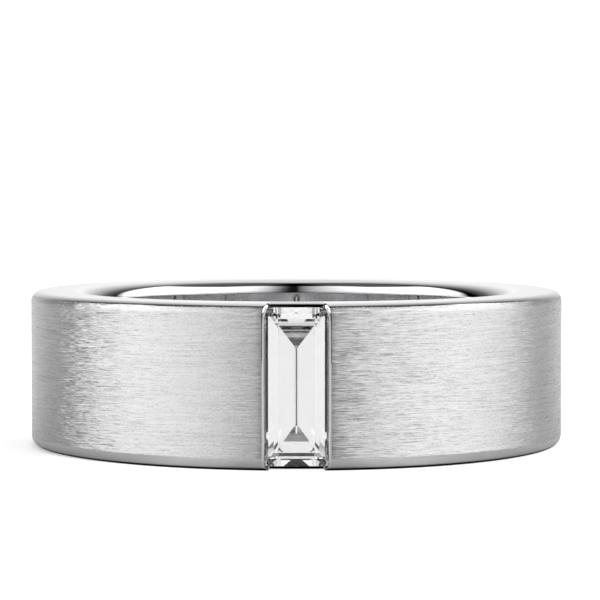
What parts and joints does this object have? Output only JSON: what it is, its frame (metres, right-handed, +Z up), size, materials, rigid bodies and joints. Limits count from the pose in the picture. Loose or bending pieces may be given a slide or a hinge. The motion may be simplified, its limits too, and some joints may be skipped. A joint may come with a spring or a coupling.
{
  "type": "finger ring with a channel-held baguette stone",
  "caption": "Flat brushed band ring with a step-cut baguette stone held across its front, from edge to edge, in a channel.",
  "frame": {"origin": "centre of the side that the ring rests on, on the axis of the finger hole", "axes": "+Z up along the finger hole's axis, -Y towards the stone, +X to the right when the stone is faced"},
  "size_m": [0.0208, 0.0207, 0.006],
  "materials": {
    "brushed_white_metal": "satin brushed round the outer face, polished sides, edges and finger hole",
    "clear_stone": "polished facets, colourless"
  },
  "bodies": {
    "root": {"band": "brushed_white_metal", "baguette_stone": "clear_stone"}
  },
  "joints": []
}
